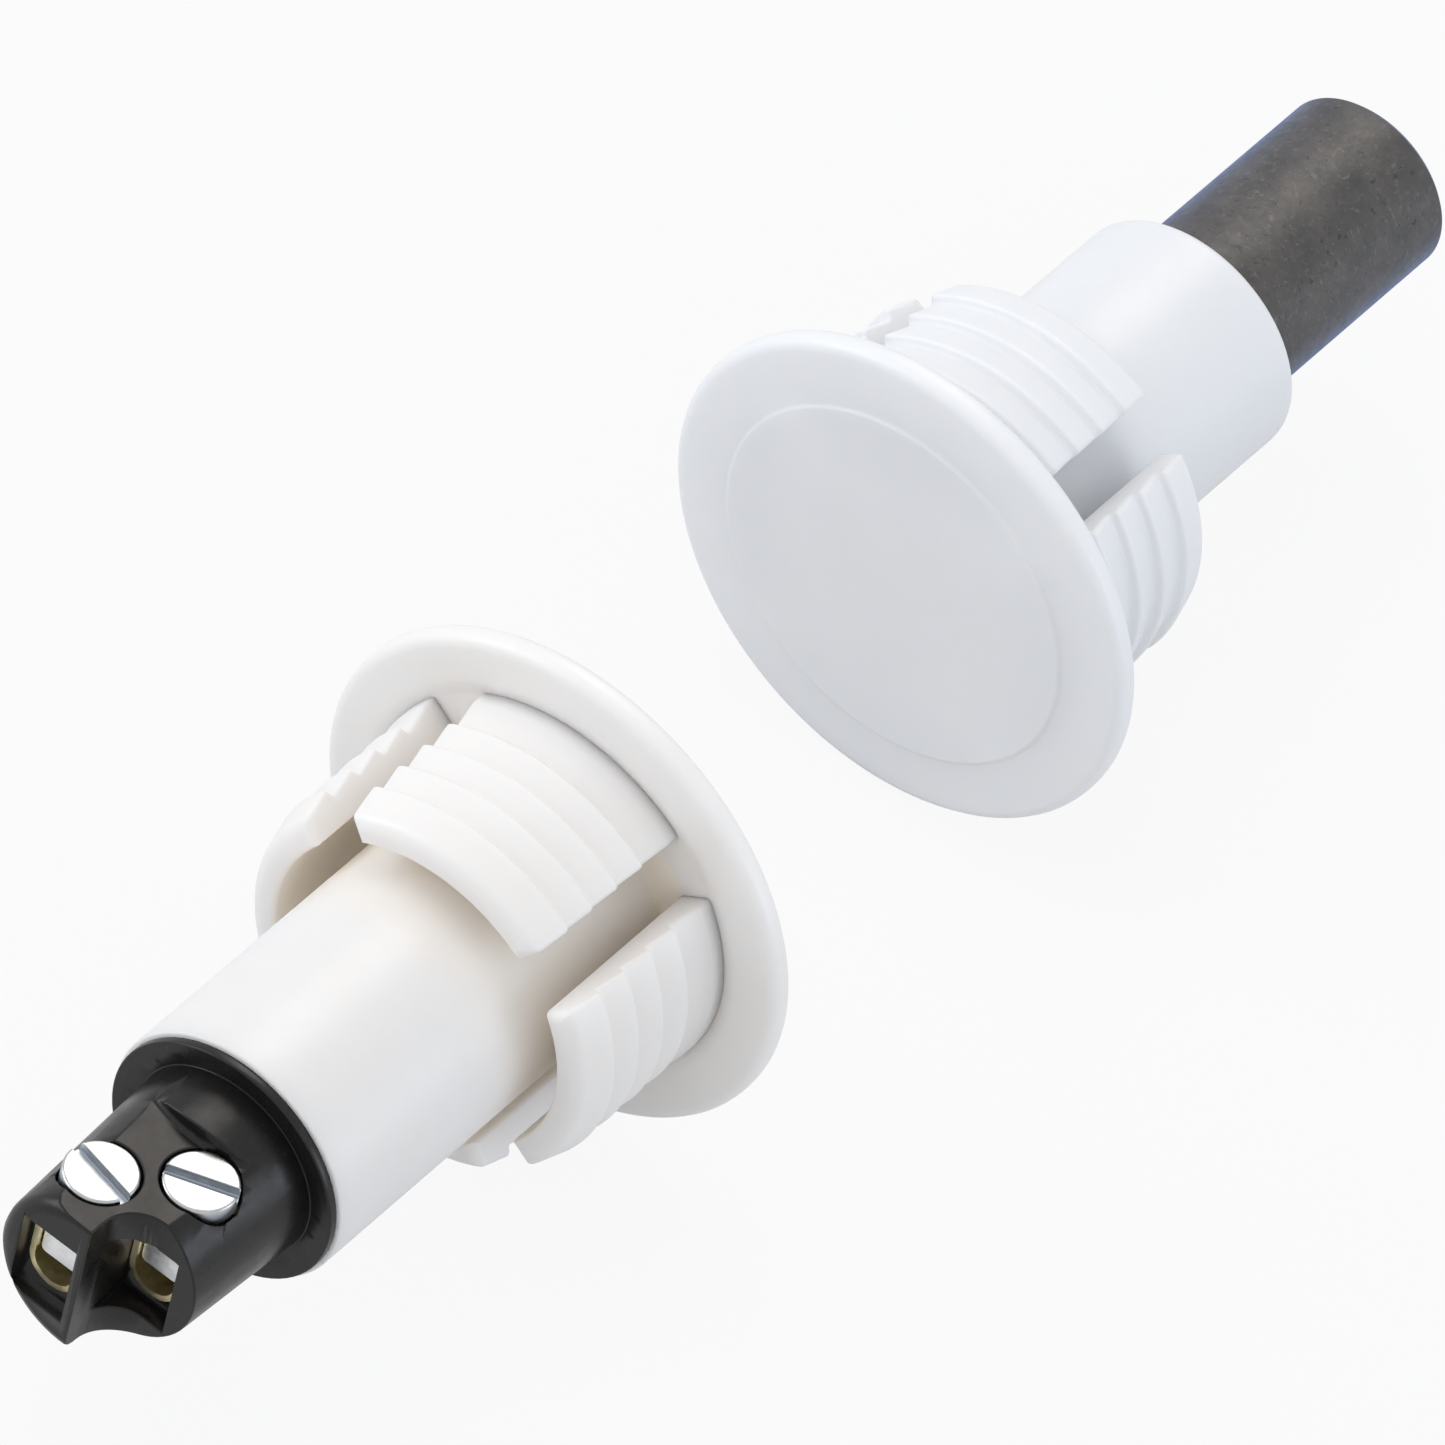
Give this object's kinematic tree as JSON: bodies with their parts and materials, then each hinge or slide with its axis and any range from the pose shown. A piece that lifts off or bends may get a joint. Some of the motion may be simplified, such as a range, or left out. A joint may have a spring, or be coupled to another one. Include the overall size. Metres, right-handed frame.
{
  "type": "recessed magnetic contact",
  "caption": "Recessed door contact set: flanged switch half with barbed wings and screw terminals, and a matching half that holds a rod magnet.",
  "frame": {"origin": "on the common axis, in the plane where the switch half's flange seats on the door frame", "axes": "+Y along the common axis from the switch half to the magnet half, +Z square to the flat that carries the terminal screws, +X across"},
  "size_m": [0.0254, 0.0936, 0.0254],
  "materials": {
    "white_plastic": "satin moulded",
    "black_plastic": "semi-gloss moulded",
    "brass": "drawn and pressed",
    "bright_steel": "bright nickel plated",
    "clear_glass": "clear drawn glass",
    "reed_alloy": "pressed nickel-iron",
    "natural_nylon": "natural moulded",
    "tinned_wire": "tinned",
    "wire_sleeve": "extruded",
    "solder": "flowed",
    "ferrite": "sintered and ground"
  },
  "bodies": {
    "housings": {"switch_shell": "white_plastic", "terminal_block": "black_plastic", "terminal_cage_left": "brass", "terminal_cage_right": "brass", "reed_glass": "clear_glass", "reed_blade_front": "reed_alloy", "reed_blade_rear": "reed_alloy", "reed_carrier": "natural_nylon", "return_wire": "tinned_wire", "return_sleeve": "wire_sleeve", "solder_joint_front": "solder", "solder_joint_left": "solder", "solder_joint_right": "solder", "magnet_shell": "white_plastic", "magnet_rod": "ferrite"},
    "clamp_left": {"clamp_plate_left": "bright_steel"},
    "screw_left": {"terminal_screw_left": "bright_steel"},
    "clamp_right": {"clamp_plate_right": "bright_steel"},
    "screw_right": {"terminal_screw_right": "bright_steel"}
  },
  "joints": [
    {"name": "clamp_left_travel", "type": "slide", "parent": "housings", "child": "clamp_left", "axis": [0, 0, 1], "range_m": [-0.00045, 0.00056]},
    {"name": "screw_left_turn", "type": "hinge", "parent": "clamp_left", "child": "screw_left", "pos_m": [-0.0017, -0.0302, 0.003], "axis": [0, 0, 1], "range_deg": [-361, 449]},
    {"name": "clamp_right_travel", "type": "slide", "parent": "housings", "child": "clamp_right", "axis": [0, 0, 1], "range_m": [-0.00045, 0.00056]},
    {"name": "screw_right_turn", "type": "hinge", "parent": "clamp_right", "child": "screw_right", "pos_m": [0.0017, -0.0274, 0.003], "axis": [0, 0, 1], "range_deg": [-361, 449]}
  ],
  "couplings": [
    {"joint": "screw_left_turn", "follows": "clamp_left_travel", "rad_per_m": 13963},
    {"joint": "screw_right_turn", "follows": "clamp_right_travel", "rad_per_m": 13963}
  ]
}
